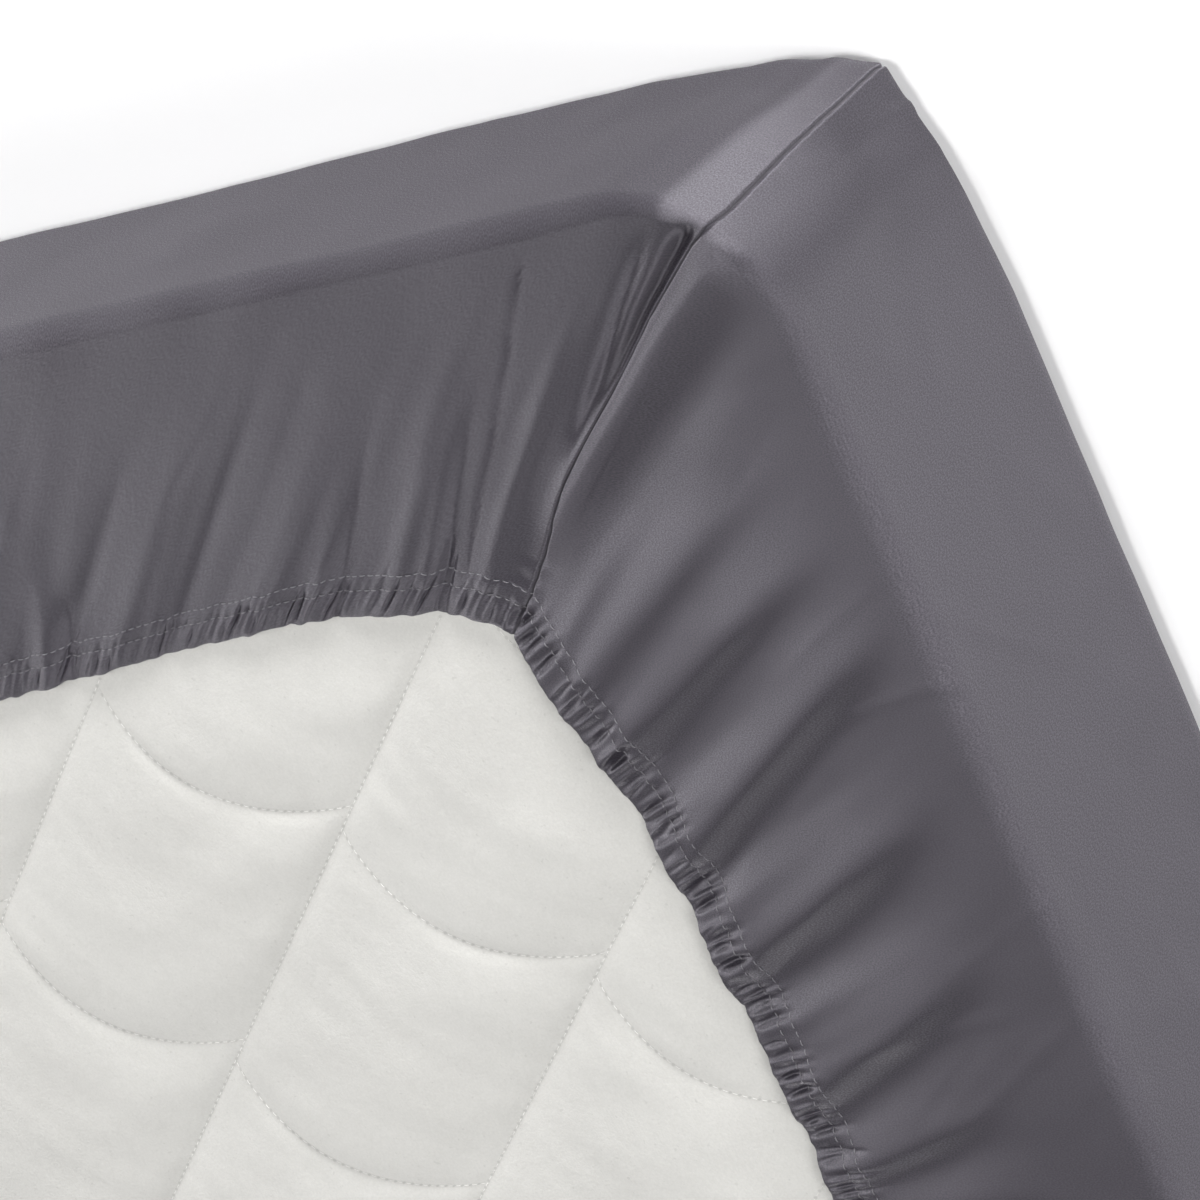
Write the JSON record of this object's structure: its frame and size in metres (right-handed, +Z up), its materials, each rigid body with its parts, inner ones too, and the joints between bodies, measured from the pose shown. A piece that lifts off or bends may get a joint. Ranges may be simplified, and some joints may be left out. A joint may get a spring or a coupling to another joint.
{
  "type": "mattress with fitted sheet",
  "caption": "Single foam mattress lying face down in a dark grey sateen fitted sheet, with seamed corners and a gathered elastic hem round its quilted underside.",
  "frame": {"origin": "on the floor, under the middle of the mattress: the sleeping face lies on z = 0", "axes": "+X along the long sides, +Y along the short sides, +Z up, out of the mattress's underside"},
  "size_m": [2, 0.9, 0.1473],
  "materials": {
    "sheet_cotton": "dark grey cotton sateen, satin sheen",
    "mattress_ticking": "off-white brushed knit, quilted, matt"
  },
  "bodies": {
    "root": {"fitted_sheet": "sheet_cotton", "mattress": "mattress_ticking"}
  },
  "joints": []
}
